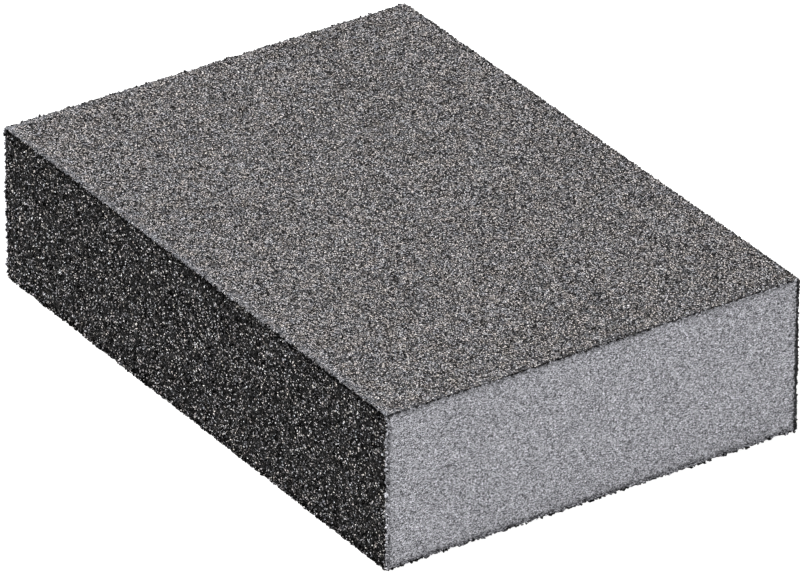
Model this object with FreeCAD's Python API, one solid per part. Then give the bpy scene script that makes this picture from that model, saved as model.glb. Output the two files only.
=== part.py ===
import FreeCAD, Part
import os

# A foam sanding block, coated with abrasive on its four long faces. It is cut from a longer
# coated strip, so both ends are bare foam and show the coats' cut edges.
#
# Millimetres. +X runs along the block, +Y across it and +Z up. The origin is on the surface
# that the block rests on, under its centre.
#
# Each coated face carries two layers: a cured resin bond on the foam, and over it the abrasive
# grain, locked in by a size coat of the same resin. The top and the back side are medium grit,
# and the underside and the front side are coarse. Neighbouring coats meet on a mitre at the
# block's long edges, where the grain lies thinner and the edge is a little rounded.

# Finished block, measured over the grain
BLOCK_LENGTH = 100.0
BLOCK_WIDTH = 70.0
BLOCK_HEIGHT = 25.0
LONG_EDGE_RADIUS = 0.6

# Medium coat, P100: the grain is 0.16 mm across on average
MEDIUM_BOND = 0.10
MEDIUM_GRAIN = 0.25

# Coarse coat, P60: the grain is 0.27 mm across on average
COARSE_BOND = 0.15
COARSE_GRAIN = 0.40

PARTS_FOLDER = "parts"

# Each coated face, by its bond, its grain, and the two corners of the block's section that it
# runs between, as section_corners() orders them
FACES = {
    "underside": (COARSE_BOND, COARSE_GRAIN, 0, 1),
    "back_side": (MEDIUM_BOND, MEDIUM_GRAIN, 1, 2),
    "top": (MEDIUM_BOND, MEDIUM_GRAIN, 2, 3),
    "front_side": (COARSE_BOND, COARSE_GRAIN, 3, 0),
}


def section_corners(depth):
    """The corners of the block's section under part of its coats, from the lower front one.

    depth gives how much of each face's coat is taken off, by the face's name.
    """
    front = -BLOCK_WIDTH / 2 + depth["front_side"]
    back = BLOCK_WIDTH / 2 - depth["back_side"]
    low = depth["underside"]
    high = BLOCK_HEIGHT - depth["top"]
    return [(front, low), (back, low), (back, high), (front, high)]


def extruded(corners):
    """A solid of the block's length, from the corners of its section as (y, z)."""
    points = [FreeCAD.Vector(-BLOCK_LENGTH / 2, y, z) for y, z in corners]
    wire = Part.makePolygon(points + points[:1])
    return Part.Face(wire).extrude(FreeCAD.Vector(BLOCK_LENGTH, 0, 0))


def runs_along_block(edge):
    """Whether an edge goes from one end of the block to the other."""
    return edge.BoundBox.XLength > BLOCK_LENGTH / 2


def with_rounded_long_edges(solid):
    """The finished outside of the block."""
    long_edges = [edge for edge in solid.Edges if runs_along_block(edge)]
    return solid.makeFillet(LONG_EDGE_RADIUS, long_edges)


def mitred_layer(outer, inner, first, second):
    """One face's share of the layer between two sections, between the mitres at its corners."""
    return extruded([outer[first], outer[second], inner[second], inner[first]])


def make_sub_parts():
    """Every sub-part's shape, by its node's name."""
    nothing_off = {face: 0.0 for face in FACES}
    grain_off = {face: grain for face, (bond, grain, first, second) in FACES.items()}
    coat_off = {face: bond + grain for face, (bond, grain, first, second) in FACES.items()}
    over_grain = section_corners(nothing_off)
    over_bond = section_corners(grain_off)
    over_foam = section_corners(coat_off)

    outside = with_rounded_long_edges(extruded(over_grain))
    sub_parts = {"foam_core": extruded(over_foam)}
    for face, (bond, grain, first, second) in FACES.items():
        sub_parts[face + "_resin_bond"] = mitred_layer(over_bond, over_foam, first, second)
        sub_parts[face + "_grit"] = mitred_layer(over_grain, over_bond, first, second).common(outside)
    return sub_parts


def main():
    os.makedirs(PARTS_FOLDER, exist_ok=True)
    for node, shape in make_sub_parts().items():
        solid = shape.Solids[0]
        solid.exportStep(os.path.join(PARTS_FOLDER, node + ".step"))
        print(node, "solids", len(shape.Solids), "valid", solid.isValid(), "mm3", round(solid.Volume, 1))


main()
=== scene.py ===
import math

import bmesh
import bpy
import numpy as np
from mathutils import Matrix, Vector


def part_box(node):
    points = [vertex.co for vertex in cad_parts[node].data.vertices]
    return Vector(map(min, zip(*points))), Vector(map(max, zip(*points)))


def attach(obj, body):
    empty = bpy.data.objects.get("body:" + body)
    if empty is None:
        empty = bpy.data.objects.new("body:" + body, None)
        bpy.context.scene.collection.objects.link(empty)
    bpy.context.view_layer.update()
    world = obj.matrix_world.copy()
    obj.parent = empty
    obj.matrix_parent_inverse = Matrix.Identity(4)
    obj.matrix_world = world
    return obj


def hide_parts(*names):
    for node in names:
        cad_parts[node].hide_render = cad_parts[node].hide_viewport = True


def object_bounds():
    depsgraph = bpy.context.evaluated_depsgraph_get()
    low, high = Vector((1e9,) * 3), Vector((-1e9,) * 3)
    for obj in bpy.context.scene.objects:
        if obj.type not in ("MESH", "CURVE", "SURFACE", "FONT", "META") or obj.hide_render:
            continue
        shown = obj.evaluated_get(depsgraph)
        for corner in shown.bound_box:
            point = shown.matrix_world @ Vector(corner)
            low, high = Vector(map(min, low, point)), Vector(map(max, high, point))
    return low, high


# A foam sanding block on a white floor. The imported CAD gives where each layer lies. Here each
# coat's grain gets its real relief and ragged cut edges, and the foam its cut cells.
#
# A pair of numbers for something random is its least and most, and a pair of distances for a
# colour is where it starts to fade and where it has gone, unless the comment says otherwise.

MM = 0.001
LONG_EDGE_RADIUS = 0.6 * MM

# A coat's mesh: the spacing of its points, which is halved in the band along each edge, how far
# they stray as a share of it, and the cut ends' levels from the coat's surface to its underside
COAT_STEP = 0.285 * MM
EDGE_BAND = 1.4 * MM
COAT_STRAY = 0.12
CUT_EDGE_STEPS = (0.12, 0.26, 0.42, 0.6, 0.8, 1.0)
CUT_EDGE_SPREAD = 0.6  # of how far grains stick out of it, as a share of the most
STEEPEST_GRAIN = 0.7  # rise over run along and across a coat
EASING_PASSES = 3

# One grain in a coat, in shares of the grains' spacing: where its middle lies in its own square,
# the level and tilt of its flat top, how far out its facets start and how steeply they fall
GRAIN_PLACE = (0.1, 0.9)
GRAIN_TOP = (-0.75, 0.0)
GRAIN_TILT = 0.35
GRAIN_FACETS = 5
GRAIN_REACH = (0.12, 0.42)
GRAIN_STEEPNESS = (1.0, 3.0)

# Chips along the edges of a coat's cut ends: their spacing, how far in from the end they reach,
# and the share of the coat's thickness that is gone, where less than nothing means no chip
CHIP_SPACING = 0.42 * MM
CHIP_LENGTH = 0.45 * MM
CHIP_SHARES = (-0.5, 0.85)

# The bond resin: where its mesh has points, in edge bands from a cut end. At the cut, how far it
# stands out, the least share of that, and how far it oozes over the grit and over the foam, as
# shares of its thickness
BOND_STATIONS = (0.0, 0.0, 0.6, 1.0, 2.0)
BOND_STANDS_OUT = 0.04 * MM
BOND_LEAST_SHARE = 0.3
OOZE_SPACING = 0.22 * MM
OOZE_OUT = (-0.45, 0.5)
OOZE_IN = (-0.45, 1.3)

# Each grade of grit. In the mesh: the spacing of its grains, how deep the gaps between them are,
# how far grains stick out of a cut edge or are missing from it, and the proud grains: their
# smallest and largest size, and how many stand on a millimetre of edge and on a square millimetre
# of face. In the colour: the size of its specks, their tones as pairs of share and level, the
# brightest of which are painted glints, where the gaps between them fade and how dark they are,
# a dark that is partly the resin and partly painted shade, and how dark its cut ends are.
MEDIUM = {
    "slot": "medium_grit",
    "grain": 0.16 * MM,
    "relief": 0.06 * MM,
    "ragged": 0.08 * MM,
    "proud_sizes": (0.2 * MM, 0.6 * MM),
    "proud_on_edge": 7.0,
    "proud_on_face": 0.3,
    "speck": 0.165 * MM,
    "tones": [(0.0, 0.003), (0.33, 0.03), (0.57, 0.18), (0.8, 0.55), (1.0, 1.0)],
    "gap": (0.03, 0.24),
    "gap_shade": 0.01,
    "cut_shade": 0.3,
}
COARSE = {
    "slot": "coarse_grit",
    "grain": 0.31 * MM,
    "relief": 0.24 * MM,
    "ragged": 0.19 * MM,
    "proud_sizes": (0.3 * MM, 0.95 * MM),
    "proud_on_edge": 7.5,
    "proud_on_face": 1.4,
    "speck": 0.21 * MM,
    "tones": [(0.0, 0.001), (0.52, 0.004), (0.73, 0.03), (0.845, 0.15), (0.935, 0.58), (1.0, 0.97)],
    "gap": (0.02, 0.22),
    "gap_shade": 0.0,
    "cut_shade": 0.5,
}

# Each coated face: its grit, the way it looks, the way its width runs and its random seed
COATS = {
    "top": (MEDIUM, (0, 0, 1), (0, 1, 0), 11),
    "back_side": (MEDIUM, (0, 1, 0), (0, 0, 1), 12),
    "underside": (COARSE, (0, 0, -1), (0, 1, 0), 13),
    "front_side": (COARSE, (0, -1, 0), (0, 0, 1), 14),
}

# What is added to a face's seed for its proud grains, its bond and its chips
PROUD_SEED = 100
BOND_SEED = 200
CHIP_SEED = 300

# Proud grains: how their sizes bunch towards the smallest, and how far out their corners are, as
# a share of half the size. The middle of one stands clear of the coat by at most this share of its
# size. Past a cut end it lies by the mean and spread given, in shares of the raggedness. By a long
# edge it lies within about the band, as deep as this share of the grit, and on the face as deep as
# these shares of the relief.
PROUD_BUNCHING = (1.2, 2.5)
PROUD_CORNERS = (0.6, 1.1)
PROUD_CLEARANCE = 0.22
PROUD_PAST_END = (-0.3, 0.5)
PROUD_SIDE_BAND = 0.3 * MM
PROUD_SIDE_DEPTH = 0.3
PROUD_FACE_DEPTHS = (0.2, 0.9)

# The foam's cut ends: the spacing of their mesh points and how far they stray as a share of it,
# the cells' spacing, how much wider than high they are and their depth, and the fine bumps' height
FOAM_PITCH = 0.2 * MM
FOAM_STRAY = 0.3
FOAM_SEED = 21
CELL_SIZE = 0.3 * MM
CELL_STRETCH = 1.3
CELL_DEPTH = 0.02 * MM
FOAM_BUMPS = 0.03 * MM

# One cell, in shares of the spacing and of the greatest depth: where its middle lies in its own
# square, its radius and how deep it is
CELL_PLACE = (0.05, 0.95)
CELL_RADIUS = (0.45, 0.95)
CELL_DEPTH_SHARE = (0.3, 1.0)

# Tints of the greys, and pairs of tints that single grains and whole patches of them lie between
GRIT_TINT = (1.02, 0.985, 1.0)
WEAR_AND_HIGHLIGHT_TINT = (0.95, 0.98, 1.08)
FOAM_TINT = (0.985, 0.985, 1.06)
WARM_OR_COOL = ((1.05, 1.0, 0.93), (0.95, 1.0, 1.07))
PINK_OR_GREEN = ((1.02, 0.98, 1.02), (0.98, 1.02, 0.98))
PATCH_TINTS = ((1.03, 1.0, 0.965), (0.975, 1.0, 1.03))
PATCH_SIZE = 1.6 * MM

# Levels between which most of a noise lies, and the rougher noise behind blotches
NOISE_LEVELS = (0.35, 0.65)
ROUGH_NOISE = 0.7
BLOTCH_SIZE = 0.9 * MM
BLOTCH_DETAIL = 3.0
BLOTCH_LEVELS = (0.38, 0.62)

# Gloss: hardly any, and each speck has its own roughness and, in the grit, its own lean
SPECULAR = 0.03
GRIT_ROUGHNESS = (0.3, 0.75)
RESIN_ROUGHNESS = (0.35, 0.7)
FOAM_ROUGHNESS = (0.75, 0.95)
GRAIN_LEAN = 1.2

# The coarse coat's shade under the top's edge: how far down it reaches and how dark it starts
EDGE_SHADOW = (0.2 * MM, 1.0 * MM)
EDGE_SHADOW_SHADE = 0.45

# Foam dust and wear that pale the medium coat, and a painted highlight along its rounded front
# edge: distances from its front edge, from its corners, and from the end's edge, where the paling
# thins out along the edge from the one share to the other
WEAR_AND_HIGHLIGHT_EDGE = (0.5 * MM, 2.0 * MM)
WEAR_AND_HIGHLIGHT_CORNER = (0.2 * MM, 2.4 * MM)
WEAR_AND_HIGHLIGHT_END_EDGE = (0.4 * MM, 1.6 * MM)
WEAR_AND_HIGHLIGHT_ALONG_END = (2 * MM, 30 * MM)
WEAR_AND_HIGHLIGHT_END_SHARES = (0.8, 0.1)
WEAR_AND_HIGHLIGHT_BLOTCH = 0.8
WEAR_AND_HIGHLIGHT_STRENGTH = 0.46
WEAR_AND_HIGHLIGHT_LEVEL = 0.58

# Foam dust smeared over the coats' cut ends: how far in from the end it shows, its tones, how far
# below each face it starts, how far that wanders, how sharply it starts and its gaps' shade
CUT_SKIN = 0.25 * MM
SMEAR_TONES = [(0.0, 0.01), (0.35, 0.2), (0.65, 0.5), (1.0, 1.0)]
SMEAR_STARTS = {
    "top": 0.2 * MM,
    "back_side": 0.45 * MM,
    "underside": 0.32 * MM,
    "front_side": -0.3 * MM,
}
SMEAR_WANDER = 0.22 * MM
SMEAR_FADE = 0.06 * MM
SMEAR_GAP_SHADE = 0.5

# The foam's colour: its cells' size, how they are squashed, their tones, and the painted shade in a
# cell's hollow: where it fades, which cells have one, and how dark it is at most
FOAM_SPECK = 0.155 * MM
FOAM_SQUASH = (1.0, 1.0, 1.5)
FOAM_TONES = [(0.0, 0.01), (0.24, 0.16), (0.6, 0.45), (0.85, 0.7), (1.0, 1.0)]
HOLLOW_EDGE = (0.3, 0.7)
HOLLOW_CELLS = (0.3, 0.9)
HOLLOW_DARKEST = 0.8
HOLLOW_LEVEL = 0.03

# Faint streaks across the foam: their size, detail and stretch, the noise's levels, their shades
STREAK_SIZE = 1.6 * MM
STREAK_DETAIL = 3.0
STREAK_STRETCH = (1.0, 0.3, 1.0)
STREAK_LEVELS = (0.3, 0.7)
STREAK_SHADES = (0.98, 1.02)

# How far and how darkly resin has seeped into the foam behind each coat, where the far darker band
# behind the back side is also painted shade, how that reach wanders, the shares of it over which
# the dark fades, and the level of darkened foam
SOAK_AND_SHADE = {
    "top": (0.5 * MM, 0.36),
    # painted shade as well as resin: the back side's band is far darker
    "back_side": (0.3 * MM, 0.92),
    "underside": (0.5 * MM, 0.3),
    "front_side": (0.4 * MM, 0.36),
}
FRINGE_SIZE = 0.5 * MM
FRINGE_DETAIL = 4.0
FRINGE_REACH = (0.02, 2.2)
SOAK_AND_SHADE_FADE = (0.5, 1.3)
SOAK_AND_SHADE_LEVEL = 0.01

# The resin's colour: its specks and their tones, how smears shift them, and where painted shade
# darkens it near the back side, and how much
RESIN_SPECK = 0.17 * MM
RESIN_TONES = [(0.0, 0.01), (0.3, 0.12), (0.6, 0.33), (1.0, 0.75)]
RESIN_SMEAR_LEVELS = (0.42, 0.58)
RESIN_SMEAR = 0.2
RESIN_BACK_SHADE_BAND = (0.4 * MM, 0.6 * MM)
RESIN_BACK_SHADE = 0.12

# The stage, and the key light as it stands to the block
FLOOR_HALF = 20.0
FLOOR_LEVEL = 0.3
FLOOR_ROUGHNESS = 0.9
FLOOR_GLOW = 0.95
AMBIENT_LIGHT = 0.3
KEY_AZIMUTH = math.radians(-10)
KEY_ELEVATION = math.radians(60)
KEY_DISTANCE = 1.6
KEY_SIZE = 0.5
KEY_WATTS = 48

# The camera, as it stands to the block
CAMERA_AZIMUTH = math.radians(56.38)
CAMERA_ELEVATION = math.radians(29.37)
CAMERA_DISTANCE = 1.4415
CAMERA_LENS = 452.6
CAMERA_AIM_HEIGHT = 12.0 * MM
CAMERA_SIDESTEP = 0.53 * MM
CAMERA_RISE = -0.87 * MM
CAMERA_CLIP = (0.05, 60.0)

MERGE_DISTANCE = 0.0005 * MM


# ---------------------------------------------------------------- mesh


def mesh_object(name, points, faces):
    """A new object in the row frame from an array of points and a list of faces."""
    mesh = bpy.data.meshes.new(name)
    mesh.from_pydata(points.reshape(-1, 3).tolist(), [], faces)
    piece = bpy.data.objects.new(name, mesh)
    bpy.context.scene.collection.objects.link(piece)
    return piece


def grid_faces(rows, columns, start=0):
    """The quads of a grid of points, numbered row by row from start."""
    index = start + np.arange(rows * columns).reshape(rows, columns)
    corners = (index[:-1, :-1], index[1:, :-1], index[1:, 1:], index[:-1, 1:])
    return np.stack(corners, axis=-1).reshape(-1, 4).tolist()


def places(half, step):
    """Places from -half to half, a step apart, and twice as close within the band at each edge."""
    edge = np.arange(0, EDGE_BAND, step / 2)
    inside = half - EDGE_BAND
    middle = np.linspace(-inside, inside, round(2 * inside / step) + 1)
    return np.concatenate([edge - half, middle, (half - edge)[::-1]])


def open_mesh(piece):
    """A piece's mesh, opened for editing."""
    shape = bmesh.new()
    shape.from_mesh(piece.data)
    return shape


def turn_out_and_save(piece, shape):
    """Turns all faces of an opened mesh outwards and gives it back to its piece."""
    bmesh.ops.recalc_face_normals(shape, faces=shape.faces)
    shape.to_mesh(piece.data)
    shape.free()


def close_and_orient(piece):
    """Merges the points that meet, fills the open back with one face and turns all faces out."""
    shape = open_mesh(piece)
    bmesh.ops.remove_doubles(shape, verts=shape.verts, dist=MERGE_DISTANCE)
    rim = [edge for edge in shape.edges if edge.is_boundary]
    bmesh.ops.holes_fill(shape, edges=rim, sides=0)
    turn_out_and_save(piece, shape)
    piece.data.shade_smooth()


# ---------------------------------------------------------------- grit


def grain_field(along, across, grain, seed):
    """Height of packed, faceted grains at points on a coat, from -1 in the gaps to about 0.

    Each grain is a tilted flat top with steep facets round it, placed near its own spot on a
    grid of the grain's spacing. The surface is the highest of the grains near each point.
    """
    random = np.random.default_rng(seed)
    column = np.floor(along / grain).astype(int)
    row = np.floor(across / grain).astype(int)
    column_origin = column.min() - 2
    row_origin = row.min() - 2
    cells = (column.max() - column_origin + 3, row.max() - row_origin + 3)
    centre = random.uniform(*GRAIN_PLACE, (*cells, 2))
    top = random.uniform(*GRAIN_TOP, cells)
    tilt = random.normal(0.0, GRAIN_TILT, (*cells, 2))
    turn = random.uniform(0, 2 * math.pi, cells)
    reach = random.uniform(*GRAIN_REACH, (*cells, GRAIN_FACETS))
    steepness = random.uniform(*GRAIN_STEEPNESS, (*cells, GRAIN_FACETS))

    surface = np.full(along.shape, -1.0)
    for step_along in (-1, 0, 1):
        for step_across in (-1, 0, 1):
            i = column + step_along - column_origin
            j = row + step_across - row_origin
            dx = along / grain - (column + step_along + centre[i, j, 0])
            dy = across / grain - (row + step_across + centre[i, j, 1])
            height = top[i, j] + tilt[i, j, 0] * dx + tilt[i, j, 1] * dy
            for facet in range(GRAIN_FACETS):
                angle = turn[i, j] + facet * 2 * math.pi / GRAIN_FACETS
                beyond = dx * np.cos(angle) + dy * np.sin(angle) - reach[i, j, facet]
                height = np.minimum(height, top[i, j] - steepness[i, j, facet] * beyond)
            surface = np.maximum(surface, height)
    return np.minimum(surface, 0.0)


def ease_slopes(height, x, s):
    """Lowers each point that stands too steeply over its neighbour."""
    for _ in range(EASING_PASSES):
        for heights, way in ((height, x), (height.T, s.T)):
            rise = STEEPEST_GRAIN * np.abs(np.diff(way, axis=0))
            heights[1:] = np.minimum(heights[1:], heights[:-1] + rise)
            heights[:-1] = np.minimum(heights[:-1], heights[1:] + rise)
    return height


class Face:
    """A coated face of the block: maps places on the coat to points in the row frame."""

    def __init__(self, name, block):
        self.grit, out, width_way, self.seed = COATS[name]
        low, high = block
        self.centre = np.array((low + high) / 2)
        half_size = np.array((high - low) / 2)
        self.out = np.array(out, float)
        self.across = np.array(width_way, float)
        self.half_length = half_size[0]
        self.half_width = abs(self.across @ half_size)
        self.half_depth = abs(self.out @ half_size)
        grit_low, grit_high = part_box(name + "_grit")
        self.thickness = abs(self.out @ np.array(grit_high - grit_low))
        bond_low, bond_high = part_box(name + "_resin_bond")
        self.bond_thickness = abs(self.out @ np.array(bond_high - bond_low))
        self.inner_low = self.across @ (np.array(bond_low) - self.centre)
        self.inner_high = self.across @ (np.array(bond_high) - self.centre)
        self.flat_half = self.half_width - LONG_EDGE_RADIUS
        self.reach = self.flat_half + LONG_EDGE_RADIUS * math.pi / 4
        random = np.random.default_rng(self.seed + CHIP_SEED)
        self.knots = np.arange(-self.reach, self.reach + CHIP_SPACING, CHIP_SPACING)
        shares = random.uniform(*CHIP_SHARES, (2, len(self.knots))).clip(0, 1)
        self.chip_depths = self.thickness * shares

    def chips(self, x, s):
        """How much lower the coat lies where its cut ends are chipped: uneven, deep only there."""
        lower = np.zeros_like(x)
        for way, depths in zip((-1, 1), self.chip_depths):
            to_end = self.half_length - way * x
            lower += np.interp(s, self.knots, depths) * np.exp(-((to_end / CHIP_LENGTH) ** 2))
        return lower

    def outer(self, x, s, height):
        """Points on the coat's surface: x along the block, s across the face and over its edges."""
        angle = np.maximum(np.abs(s) - self.flat_half, 0) / LONG_EDGE_RADIUS
        side = np.sign(s)
        sideways = side * np.sin(angle)
        upward = np.cos(angle)
        u = np.clip(s, -self.flat_half, self.flat_half) + (LONG_EDGE_RADIUS + height) * sideways
        n = self.half_depth - LONG_EDGE_RADIUS + (LONG_EDGE_RADIUS + height) * upward
        return self.points(x, u, n)

    def inner(self, x, s):
        """Points on the coat's underside below the same places."""
        share = (s + self.reach) / (2 * self.reach)
        u = self.inner_low + share * (self.inner_high - self.inner_low)
        n = np.full_like(u, self.half_depth - self.thickness)
        return self.points(x, u, n)

    def points(self, x, u, n):
        """Points x along the block, u across the face and n out from the block's middle."""
        place = self.centre + u[..., None] * self.across + n[..., None] * self.out
        place[..., 0] = self.centre[0] + x
        return place


def make_grit(name, face):
    """One coat's grain layer: a closed piece with relief outside and ragged cut ends."""
    grain, relief, ragged = (face.grit[key] for key in ("grain", "relief", "ragged"))
    random = np.random.default_rng(face.seed)
    x, s = np.meshgrid(
        places(face.half_length, COAT_STEP), places(face.reach, COAT_STEP), indexing="ij"
    )
    rows, columns = x.shape
    x[1:-1] += random.uniform(-COAT_STRAY, COAT_STRAY, (rows - 2, columns)) * COAT_STEP
    s[:, 1:-1] += random.uniform(-COAT_STRAY, COAT_STRAY, (rows, columns - 2)) * COAT_STEP
    height = relief * grain_field(x, s, grain, face.seed) - face.chips(x, s)
    height = ease_slopes(height, x, s)
    surface = face.outer(x, s, height)

    below = face.inner(x, s)
    first_wall = []
    last_wall = []
    for share in CUT_EDGE_STEPS:
        for wall, end, way in ((first_wall, 0, -1), (last_wall, -1, 1)):
            row = surface[end] + share * (below[end] - surface[end])
            stick_out = random.normal(0, CUT_EDGE_SPREAD, columns).clip(-1, 1) * ragged
            row[:, 0] = way * (face.half_length + stick_out * (share < 1))
            wall.append(row)
    grid = np.stack([*reversed(first_wall), *surface, *last_wall])
    first_rim = grid[:, :1].copy()
    last_rim = grid[:, -1:].copy()
    first_rim[..., 1:] = below[0, 0, 1:]
    last_rim[..., 1:] = below[0, -1, 1:]
    grid = np.concatenate([first_rim, grid, last_rim], axis=1)

    piece = mesh_object(name + "_grit_layer", grid, grid_faces(*grid.shape[:2]))
    close_and_orient(piece)
    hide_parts(name + "_grit")
    return piece


def make_bond(name, face):
    """The resin under one coat: a thin slab that oozes unevenly over its neighbours where cut."""
    random = np.random.default_rng(face.seed + BOND_SEED)
    thickness = face.bond_thickness
    to_end = np.array(BOND_STATIONS) * EDGE_BAND
    stations = np.concatenate([to_end - face.half_length, (face.half_length - to_end)[::-1]])
    is_cut = np.isclose(np.abs(stations), face.half_length)
    u = np.arange(face.inner_low, face.inner_high, OOZE_SPACING)
    u[-1] = face.inner_high
    outline = []
    for upward, ooze in ((1, OOZE_OUT), (-1, OOZE_IN)):
        level = face.half_depth - face.thickness - thickness * (upward < 0)
        ragged = thickness * random.uniform(*ooze, (len(stations), len(u)))
        outline.append(level + upward * ragged * is_cut[:, None])
    x = stations[:, None] + np.zeros(len(u))
    u = u[None] + np.zeros_like(x)
    stand_out = BOND_STANDS_OUT * random.uniform(BOND_LEAST_SHARE, 1.0, x.shape) * is_cut[:, None]
    x = x + np.sign(x) * stand_out
    upper = face.points(x, u, outline[0])
    lower = face.points(x, u, outline[1])
    loop = np.concatenate([upper, lower[:, ::-1], upper[:, :1]], axis=1)
    piece = mesh_object(name + "_bond_layer", loop, grid_faces(*loop.shape[:2]))
    close_and_orient(piece)
    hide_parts(name + "_resin_bond")
    return piece


def grains_at(centres, sizes, random):
    """Sharp grains: octahedra with their corners pulled in and out, each turned its own way."""
    count = len(centres)
    corners = np.concatenate([np.eye(3), -np.eye(3)])
    reach = random.uniform(*PROUD_CORNERS, (count, 6, 1)) * sizes[:, None, None] / 2
    turns = np.linalg.qr(random.normal(0, 1, (count, 3, 3)))[0]
    points = centres[:, None] + (corners * reach) @ turns
    sides = [(i, j, k) for i in (0, 3) for j in (1, 4) for k in (2, 5)]
    faces = (6 * np.arange(count)[:, None, None] + np.array(sides)).reshape(-1, 3)
    return points, faces.tolist()


def make_proud_grains(name, face):
    """The grains that stand out of a coat, many along its edges and a few across it."""
    grit = face.grit
    depth = face.thickness + face.bond_thickness
    random = np.random.default_rng(face.seed + PROUD_SEED)
    on_end = round(grit["proud_on_edge"] * 2 * face.reach / MM)
    on_side = round(grit["proud_on_edge"] * 2 * face.half_length / MM)
    on_face = round(grit["proud_on_face"] * 4 * face.half_length * face.reach / MM**2)
    smallest, largest = grit["proud_sizes"]
    count = 2 * on_end + 2 * on_side + on_face
    sizes = smallest + (largest - smallest) * random.beta(*PROUD_BUNCHING, count)
    along = []
    across = []
    buried = []
    for way, end_sizes in zip((-1, 1), sizes[: 2 * on_end].reshape(2, on_end)):
        past_end = random.normal(*PROUD_PAST_END, on_end) * grit["ragged"]
        past_end = np.minimum(past_end, PROUD_CLEARANCE * end_sizes)
        along.append(way * (face.half_length + past_end))
        across.append(random.uniform(-face.reach, face.reach, on_end))
        buried.append(random.uniform(0, depth, on_end))
    for way in (-1, 1):
        along.append(random.uniform(-face.half_length, face.half_length, on_side))
        across.append(way * (face.reach - np.abs(random.normal(0, PROUD_SIDE_BAND, on_side))))
        buried.append(random.uniform(0, PROUD_SIDE_DEPTH, on_side) * face.thickness)
    along.append(random.uniform(-face.half_length, face.half_length, on_face))
    across.append(random.uniform(-face.reach, face.reach, on_face))
    buried.append(random.uniform(*PROUD_FACE_DEPTHS, on_face) * grit["relief"])
    along, across, buried = (np.concatenate(values) for values in (along, across, buried))
    coat_level = -grit["relief"] / 2 - face.chips(along, across)
    height = np.maximum(coat_level + PROUD_CLEARANCE * sizes - buried, -depth)
    centres = face.outer(along, across, height)
    points, faces = grains_at(centres, sizes, random)
    points[..., 2] = np.maximum(points[..., 2], 0)
    piece = mesh_object(name + "_proud_grains", points, faces)
    turn_out_and_save(piece, open_mesh(piece))
    return piece


# ---------------------------------------------------------------- foam


def cell_field(y, z, cell, seed):
    """Depth of open cells in cut foam, from 0 on the walls to -1 at the bottom of a cell."""
    random = np.random.default_rng(seed)
    column = np.floor(y / cell).astype(int)
    row = np.floor(z / cell).astype(int)
    column_origin = column.min() - 2
    row_origin = row.min() - 2
    cells = (column.max() - column_origin + 3, row.max() - row_origin + 3)
    centre = random.uniform(*CELL_PLACE, (*cells, 2))
    radius = random.uniform(*CELL_RADIUS, cells)
    depth = random.uniform(*CELL_DEPTH_SHARE, cells)
    surface = np.zeros(y.shape)
    for step_y in (-1, 0, 1):
        for step_z in (-1, 0, 1):
            i = column + step_y - column_origin
            j = row + step_z - row_origin
            dy = y / cell - (column + step_y + centre[i, j, 0])
            dz = z / cell - (row + step_z + centre[i, j, 1])
            bowl = -depth[i, j] * np.maximum(1 - (dy ** 2 + dz ** 2) / radius[i, j] ** 2, 0)
            surface = np.minimum(surface, bowl)
    return surface


def make_foam():
    """The foam core: two cut ends with their cells, joined by the long sides under the coats."""
    low, high = (np.array(corner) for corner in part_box("foam_core"))
    columns = round((high[1] - low[1]) / FOAM_PITCH)
    rows = round((high[2] - low[2]) / FOAM_PITCH)
    random = np.random.default_rng(FOAM_SEED)
    ends = []
    for number, way in enumerate((-1, 1)):
        y, z = np.meshgrid(
            np.linspace(low[1], high[1], columns), np.linspace(low[2], high[2], rows), indexing="ij"
        )
        for places_inside in (y[1:-1, 1:-1], z[1:-1, 1:-1]):
            stray = random.uniform(-FOAM_STRAY, FOAM_STRAY, (columns - 2, rows - 2))
            places_inside += stray * FOAM_PITCH
        relief = CELL_DEPTH * cell_field(y / CELL_STRETCH, z, CELL_SIZE, FOAM_SEED + number)
        relief -= FOAM_BUMPS * random.random(y.shape)
        x = way * (high[0] + relief)
        ends.append(np.stack([x, y, z], axis=-1))
    points = np.concatenate([end.reshape(-1, 3) for end in ends])
    count = rows * columns
    faces = grid_faces(columns, rows) + grid_faces(columns, rows, start=count)
    index = np.arange(count).reshape(columns, rows)
    rim = [*index[:-1, 0], *index[-1, :-1], *index[:0:-1, -1], *index[0, :0:-1]]
    for here, after in zip(rim, rim[1:] + rim[:1]):
        faces.append((int(here), int(after), int(after + count), int(here + count)))
    piece = mesh_object("foam_block", points, faces)
    close_and_orient(piece)
    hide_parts("foam_core")
    return piece


# ---------------------------------------------------------------- materials


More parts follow.
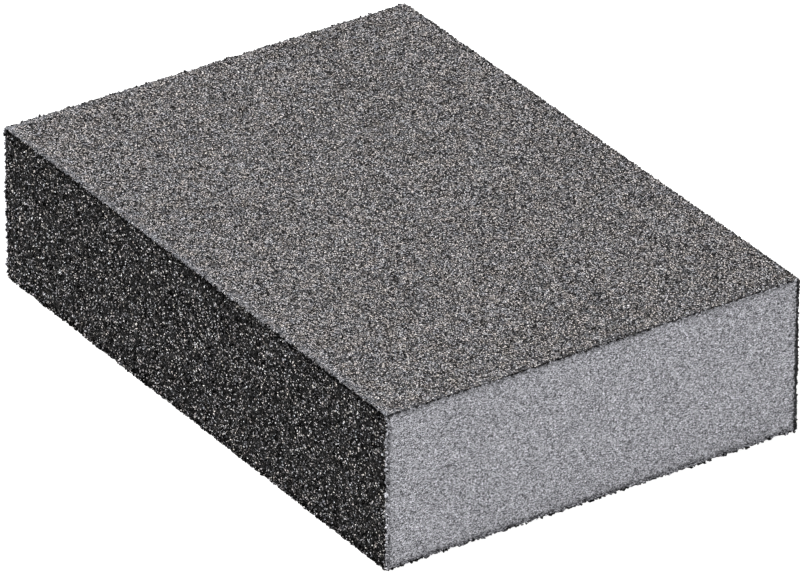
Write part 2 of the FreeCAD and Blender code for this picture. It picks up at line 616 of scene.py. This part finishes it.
class Nodes:
    """A material's node tree, built by short calls."""

    def __init__(self, name):
        self.material = bpy.data.materials.new(name)
        self.material.use_nodes = True
        self.tree = self.material.node_tree
        self.shader = self.tree.nodes["Principled BSDF"]
        self.place = self.add("ShaderNodeTexCoord").outputs["Object"]

    def add(self, kind, inputs=None, **settings):
        """A new node with its settings, and its inputs set or linked."""
        node = self.tree.nodes.new(kind)
        for key, value in settings.items():
            setattr(node, key, value)
        for key, value in (inputs or {}).items():
            self.put(node.inputs[key], value)
        return node

    def put(self, socket, value):
        """Links a socket to another one, or sets it to a plain value."""
        if isinstance(value, bpy.types.NodeSocket):
            self.tree.links.new(value, socket)
        else:
            socket.default_value = value

    def maths(self, operation, *values, clamp=False):
        node = self.add("ShaderNodeMath", operation=operation, use_clamp=clamp)
        for socket, value in zip(node.inputs, values):
            self.put(socket, value)
        return node.outputs[0]

    def vector(self, operation, *values):
        node = self.add("ShaderNodeVectorMath", operation=operation)
        for socket, value in zip(node.inputs, values):
            self.put(socket, value)
        return node.outputs["Vector"]

    def noise(self, size, detail=2.0, place=None, roughness=0.5):
        """A cloudy noise with features about this size."""
        inputs = {"Vector": place or self.place, "Scale": 1 / size}
        inputs.update({"Detail": detail, "Roughness": roughness})
        return self.add("ShaderNodeTexNoise", inputs).outputs["Fac"]

    def cells(self, size, place=None, feature="F1"):
        """Random cells about this size."""
        inputs = {"Vector": place or self.place, "Scale": 1 / size}
        return self.add("ShaderNodeTexVoronoi", inputs, feature=feature)

    def ramp(self, value, stops):
        """A colour picked by a value, from pairs of place and colour."""
        node = self.add("ShaderNodeValToRGB", {"Fac": value})
        elements = node.color_ramp.elements
        while len(elements) < len(stops):
            elements.new(0.5)
        for element, (position, colour) in zip(elements, stops):
            element.position = position
            element.color = (*colour, 1.0)
        return node.outputs["Color"]

    def mix(self, share, first, second, blend="MIX", **settings):
        """A share of the second colour mixed into the first."""
        node = self.add("ShaderNodeMix", data_type="RGBA", blend_type=blend, **settings)
        self.put(node.inputs["Factor"], share)
        self.put(node.inputs["A"], first if not isinstance(first, tuple) else (*first, 1.0))
        self.put(node.inputs["B"], second if not isinstance(second, tuple) else (*second, 1.0))
        return node.outputs["Result"]

    def ranged(self, value, low, high, new_low=0.0, new_high=1.0, smooth=False):
        """A value taken from one range to another, and held within it."""
        node = self.add("ShaderNodeMapRange", interpolation_type="SMOOTHSTEP" if smooth else "LINEAR")
        for key, number in (("Value", value), ("From Min", low), ("From Max", high)):
            self.put(node.inputs[key], number)
        self.put(node.inputs["To Min"], new_low)
        self.put(node.inputs["To Max"], new_high)
        return node.outputs["Result"]


def tinted(level, tint):
    """A grey of this level with a slight tint."""
    return tuple(level * part for part in tint)


def grey_stops(stops, tint):
    """A ramp's stops from pairs of place and level, all with the same tint."""
    return [(place, tinted(level, tint)) for place, level in stops]


def distances_in(nodes, low, high):
    """How far a point lies inside each long face of a box, by the face's name."""
    place = nodes.add("ShaderNodeSeparateXYZ", {"Vector": nodes.place})
    return {
        "top": nodes.maths("SUBTRACT", high[2], place.outputs["Z"]),
        "underside": nodes.maths("SUBTRACT", place.outputs["Z"], low[2]),
        "back_side": nodes.maths("SUBTRACT", high[1], place.outputs["Y"]),
        "front_side": nodes.maths("SUBTRACT", place.outputs["Y"], low[1]),
    }


def distance_to_end(nodes, block):
    """How far a point lies inside the nearer cut end of the block."""
    along = nodes.add("ShaderNodeSeparateXYZ", {"Vector": nodes.place}).outputs["X"]
    return nodes.maths("SUBTRACT", block[1][0], nodes.maths("ABSOLUTE", along))


def least(nodes, values):
    """The least of several values."""
    values = list(values)
    result = values[0]
    for value in values[1:]:
        result = nodes.maths("MINIMUM", result, value)
    return result


def shaded(nodes, colour, shade):
    """A colour made darker or lighter by a shade, where 1 leaves it as it is."""
    even = nodes.add("ShaderNodeCombineColor", {"Red": shade, "Green": shade, "Blue": shade})
    return nodes.mix(1.0, colour, even.outputs["Color"], "MULTIPLY", clamp_result=True)


def fading(nodes, distance, band):
    """1 at a distance up to the band's start, and 0 from its end."""
    return nodes.ranged(distance, *band, 1.0, 0.0, smooth=True)


def blotches(nodes):
    """Uneven noise in blotches."""
    return nodes.noise(BLOTCH_SIZE, BLOTCH_DETAIL, roughness=ROUGH_NOISE)


def set_surface(nodes, colour, pick, roughness):
    """Gives the surface its colour, and each speck a roughness within the pair given."""
    rough = nodes.ranged(pick.outputs["Blue"], 0, 1, *roughness)
    nodes.put(nodes.shader.inputs["Base Color"], colour)
    nodes.put(nodes.shader.inputs["Roughness"], rough)
    nodes.shader.inputs["Specular IOR Level"].default_value = SPECULAR


def grit_material(grit, block):
    """Mineral grains in dark resin: each has its own tone, cast and gloss, the brightest tones
    painted glints, and gaps dark with resin and painted shade.
    """
    nodes = Nodes(grit["slot"])
    grains = nodes.cells(grit["speck"])
    pick = nodes.add("ShaderNodeSeparateColor", {"Color": grains.outputs["Color"]})
    # The grains' tones vary at random, and the brightest stand in for glints: painted highlights
    colour = nodes.ramp(pick.outputs["Red"], grey_stops(grit["tones"], GRIT_TINT))
    casts = (
        (pick.outputs["Green"], WARM_OR_COOL),
        (pick.outputs["Blue"], PINK_OR_GREEN),
        (nodes.ranged(nodes.noise(PATCH_SIZE), *NOISE_LEVELS), PATCH_TINTS),
    )
    for share, tints in casts:
        colour = nodes.mix(1.0, colour, nodes.mix(share, *tints), "MULTIPLY")
    # Painted shade: the gaps between grains are darkened, over the resin's own dark
    to_gap = nodes.cells(grit["speck"], feature="DISTANCE_TO_EDGE").outputs["Distance"]
    gap = nodes.ranged(to_gap, *grit["gap"], grit["gap_shade"], 1.0)
    colour = shaded(nodes, colour, gap)

    inside = distances_in(nodes, *block)
    to_end = distance_to_end(nodes, block)
    unevenness = blotches(nodes)
    if grit is MEDIUM:
        # Painted highlight, with real wear and dust: the top is paler along its front edge
        colour = wear_and_painted_highlight(nodes, colour, gap, inside["front_side"], to_end, unevenness)
    else:
        near_top = nodes.ranged(inside["top"], *EDGE_SHADOW, EDGE_SHADOW_SHADE, 1.0, smooth=True)
        colour = shaded(nodes, colour, near_top)
    at_end = nodes.ranged(to_end, 0.0, CUT_SKIN, 1.0, 0.0)
    colour = shaded(nodes, colour, nodes.ranged(at_end, 0.0, 1.0, 1.0, grit["cut_shade"]))
    smeared = nodes.maths("MULTIPLY", at_end, smear_share(nodes, inside, unevenness))
    colour = nodes.mix(smeared, colour, smear_colour(nodes, pick.outputs["Red"], gap))
    set_surface(nodes, colour, pick, GRIT_ROUGHNESS)
    lean_each_grain(nodes, grains.outputs["Color"])
    return nodes.material


def wear_and_painted_highlight(nodes, colour, gap, to_front, to_end, unevenness):
    """The coat paled by wear, dust and a painted highlight in a narrow, uneven band along its front
    edge, and more at its corners.
    """
    blotch = nodes.ranged(unevenness, *BLOTCH_LEVELS, 0.0, WEAR_AND_HIGHLIGHT_BLOTCH)
    corner = fading(nodes, to_end, WEAR_AND_HIGHLIGHT_CORNER)
    edge = fading(nodes, to_front, WEAR_AND_HIGHLIGHT_EDGE)
    amount = nodes.maths("MULTIPLY", edge, nodes.maths("ADD", blotch, corner), clamp=True)
    along_end = nodes.ranged(to_front, *WEAR_AND_HIGHLIGHT_ALONG_END, *WEAR_AND_HIGHLIGHT_END_SHARES)
    end_amount = nodes.maths("MULTIPLY", fading(nodes, to_end, WEAR_AND_HIGHLIGHT_END_EDGE), along_end)
    amount = nodes.maths("MAXIMUM", amount, nodes.maths("MULTIPLY", end_amount, blotch))
    amount = nodes.maths("MULTIPLY", amount, WEAR_AND_HIGHLIGHT_STRENGTH)
    return nodes.mix(amount, colour, shaded(nodes, tinted(WEAR_AND_HIGHLIGHT_LEVEL, WEAR_AND_HIGHLIGHT_TINT), gap))


def smear_share(nodes, inside, unevenness):
    """Where foam dust covers the coats' cut ends: below an uneven line under each face."""
    depths = [
        nodes.maths("SUBTRACT", inside[name], start) for name, start in SMEAR_STARTS.items()
    ]
    wander = nodes.ranged(unevenness, *BLOTCH_LEVELS, -SMEAR_WANDER, SMEAR_WANDER)
    depth = nodes.maths("ADD", least(nodes, depths), wander)
    return nodes.ranged(depth, 0.0, SMEAR_FADE)


def smear_colour(nodes, pick, gap):
    """The foam dust's own tones, with a little painted shade in the gaps between grains."""
    tone = nodes.ramp(pick, grey_stops(SMEAR_TONES, FOAM_TINT))
    return shaded(nodes, tone, nodes.ranged(gap, 0.0, 1.0, SMEAR_GAP_SHADE, 1.0))


def lean_each_grain(nodes, pick):
    """Leans the surface of each grain its own way, so that each catches the light differently."""
    facet = nodes.add("ShaderNodeNewGeometry").outputs["Normal"]
    lean = nodes.vector("SUBTRACT", pick, (0.5, 0.5, 0.5))
    lean = nodes.vector("MULTIPLY", lean, (GRAIN_LEAN,) * 3)
    leaning = nodes.vector("ADD", facet, lean)
    nodes.put(nodes.shader.inputs["Normal"], nodes.vector("NORMALIZE", leaning))


def foam_material():
    """Fine open-cell foam, cut: painted shade in its cells' hollows, light strands, and resin seeped
    in at its edges, with painted shade too behind the back side.
    """
    nodes = Nodes("foam")
    squashed = nodes.vector("MULTIPLY", nodes.place, FOAM_SQUASH)
    cells = nodes.cells(FOAM_SPECK, place=squashed)
    pick = nodes.add("ShaderNodeSeparateColor", {"Color": cells.outputs["Color"]})
    strand = nodes.ramp(pick.outputs["Green"], grey_stops(FOAM_TONES, FOAM_TINT))
    # Painted shade: the hollows of many cells are darkened towards their middle
    hollow = fading(nodes, cells.outputs["Distance"], HOLLOW_EDGE)
    deep = nodes.ranged(pick.outputs["Red"], *HOLLOW_CELLS, 0.0, HOLLOW_DARKEST)
    hollow = nodes.maths("MULTIPLY", hollow, deep)
    colour = nodes.mix(hollow, strand, tinted(HOLLOW_LEVEL, FOAM_TINT))
    drawn_out = nodes.vector("MULTIPLY", nodes.place, STREAK_STRETCH)
    streaks = nodes.noise(STREAK_SIZE, STREAK_DETAIL, place=drawn_out)
    colour = shaded(nodes, colour, nodes.ranged(streaks, *STREAK_LEVELS, *STREAK_SHADES))
    colour = nodes.mix(soak_and_shade_share(nodes), colour, tinted(SOAK_AND_SHADE_LEVEL, GRIT_TINT))
    set_surface(nodes, colour, pick, FOAM_ROUGHNESS)
    return nodes.material


def soak_and_shade_share(nodes):
    """How much resin darkens the foam, in an uneven fringe behind each coat, with painted shade
    behind the back side.
    """
    fringe = nodes.noise(FRINGE_SIZE, FRINGE_DETAIL, roughness=ROUGH_NOISE)
    fringe = nodes.ranged(fringe, *NOISE_LEVELS, *FRINGE_REACH)
    darkened = 0.0
    for name, distance in distances_in(nodes, *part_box("foam_core")).items():
        dark_reach, strength = SOAK_AND_SHADE[name]
        reach = nodes.maths("DIVIDE", distance, nodes.maths("MULTIPLY", fringe, dark_reach))
        share = nodes.ranged(reach, *SOAK_AND_SHADE_FADE, strength, 0.0, smooth=True)
        darkened = nodes.maths("MAXIMUM", darkened, share)
    return darkened


def resin_material(block):
    """The bond resin, speckled with fine grit and foam dust where it is cut, and with painted shade
    near the back side.
    """
    nodes = Nodes("resin")
    fines = nodes.cells(RESIN_SPECK)
    pick = nodes.add("ShaderNodeSeparateColor", {"Color": fines.outputs["Color"]})
    smear = nodes.ranged(blotches(nodes), *RESIN_SMEAR_LEVELS, -RESIN_SMEAR, RESIN_SMEAR)
    tone = nodes.maths("ADD", pick.outputs["Red"], smear, clamp=True)
    colour = nodes.ramp(tone, grey_stops(RESIN_TONES, FOAM_TINT))
    # Painted shade: the resin is darkened near the back side, at the far edge of the cut ends
    to_back = distances_in(nodes, *block)["back_side"]
    colour = shaded(nodes, colour, nodes.ranged(to_back, *RESIN_BACK_SHADE_BAND, RESIN_BACK_SHADE, 1.0))
    set_surface(nodes, colour, pick, RESIN_ROUGHNESS)
    return nodes.material


def paint(piece, material):
    """Gives a piece one material."""
    piece.data.materials.clear()
    piece.data.materials.append(material)


# ---------------------------------------------------------------- stage


def make_floor():
    """A large glowing floor, white enough to be lost in the backdrop."""
    corners = [
        (-FLOOR_HALF, -FLOOR_HALF, 0.0),
        (FLOOR_HALF, -FLOOR_HALF, 0.0),
        (FLOOR_HALF, FLOOR_HALF, 0.0),
        (-FLOOR_HALF, FLOOR_HALF, 0.0),
    ]
    floor = mesh_object("floor", np.array(corners), [(0, 1, 2, 3)])
    nodes = Nodes("floor_white")
    nodes.shader.inputs["Base Color"].default_value = (FLOOR_LEVEL, FLOOR_LEVEL, FLOOR_LEVEL, 1)
    nodes.shader.inputs["Roughness"].default_value = FLOOR_ROUGHNESS
    nodes.shader.inputs["Specular IOR Level"].default_value = 0.0
    nodes.shader.inputs["Emission Color"].default_value = (1, 1, 1, 1)
    nodes.shader.inputs["Emission Strength"].default_value = FLOOR_GLOW
    paint(floor, nodes.material)


def make_world():
    """Soft light from all round, in front of a white backdrop."""
    world = bpy.data.worlds.new("studio")
    bpy.context.scene.world = world
    world.use_nodes = True
    tree = world.node_tree
    seen = tree.nodes.new("ShaderNodeLightPath").outputs["Is Camera Ray"]
    level = tree.nodes.new("ShaderNodeMapRange")
    level.inputs["To Min"].default_value = AMBIENT_LIGHT
    level.inputs["To Max"].default_value = 1.0
    tree.links.new(seen, level.inputs["Value"])
    tree.links.new(level.outputs["Result"], tree.nodes["Background"].inputs["Strength"])
    tree.nodes["Background"].inputs["Color"].default_value = (1, 1, 1, 1)
    bpy.context.scene.view_settings.view_transform = "Standard"


def make_key_light(aim):
    """A square area light that looks at the block from the front and above."""
    lamp = bpy.data.lights.new("key_softbox", "AREA")
    lamp.size = KEY_SIZE
    lamp.energy = KEY_WATTS
    light = bpy.data.objects.new("key_softbox", lamp)
    back = direction(KEY_AZIMUTH, KEY_ELEVATION)
    light.location = aim + back * KEY_DISTANCE
    light.rotation_euler = (-back).to_track_quat("-Z", "Y").to_euler()
    bpy.context.scene.collection.objects.link(light)


def direction(azimuth, elevation):
    """The way from the block towards a camera or light. Azimuth 0 is the front, -Y."""
    flat = math.cos(elevation)
    return Vector((math.sin(azimuth) * flat, -math.cos(azimuth) * flat, math.sin(elevation)))


def make_camera():
    """A long lens that looks down on the front and the right end."""
    data = bpy.data.cameras.new("camera")
    data.lens = CAMERA_LENS
    data.clip_start, data.clip_end = CAMERA_CLIP
    camera = bpy.data.objects.new("camera", data)
    back = direction(CAMERA_AZIMUTH, CAMERA_ELEVATION)
    right = Vector((math.cos(CAMERA_AZIMUTH), math.sin(CAMERA_AZIMUTH), 0))
    up = back.cross(right)
    aim = Vector((0, 0, CAMERA_AIM_HEIGHT)) + right * CAMERA_SIDESTEP + up * CAMERA_RISE
    camera.location = aim + back * CAMERA_DISTANCE
    camera.rotation_euler = (-back).to_track_quat("-Z", "Y").to_euler()
    bpy.context.scene.collection.objects.link(camera)
    bpy.context.scene.camera = camera


# ---------------------------------------------------------------- the block

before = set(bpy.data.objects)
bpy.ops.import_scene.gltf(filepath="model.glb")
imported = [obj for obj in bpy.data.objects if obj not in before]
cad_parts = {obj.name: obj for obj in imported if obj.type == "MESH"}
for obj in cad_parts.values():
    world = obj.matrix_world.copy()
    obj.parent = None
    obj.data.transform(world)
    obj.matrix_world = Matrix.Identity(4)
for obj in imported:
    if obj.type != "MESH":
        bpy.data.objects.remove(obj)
cad_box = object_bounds()

finishes = {
    "medium_grit": grit_material(MEDIUM, cad_box),
    "coarse_grit": grit_material(COARSE, cad_box),
}
resin = resin_material(cad_box)
for face_name in COATS:
    face = Face(face_name, cad_box)
    for make in (make_grit, make_proud_grains):
        layer = make(face_name, face)
        paint(layer, finishes[face.grit["slot"]])
        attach(layer, "root")
    bond = make_bond(face_name, face)
    paint(bond, resin)
    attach(bond, "root")

foam = make_foam()
paint(foam, foam_material())
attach(foam, "root")

make_world()
make_floor()
make_key_light(Vector((cad_box[0] + cad_box[1]) / 2))
make_camera()
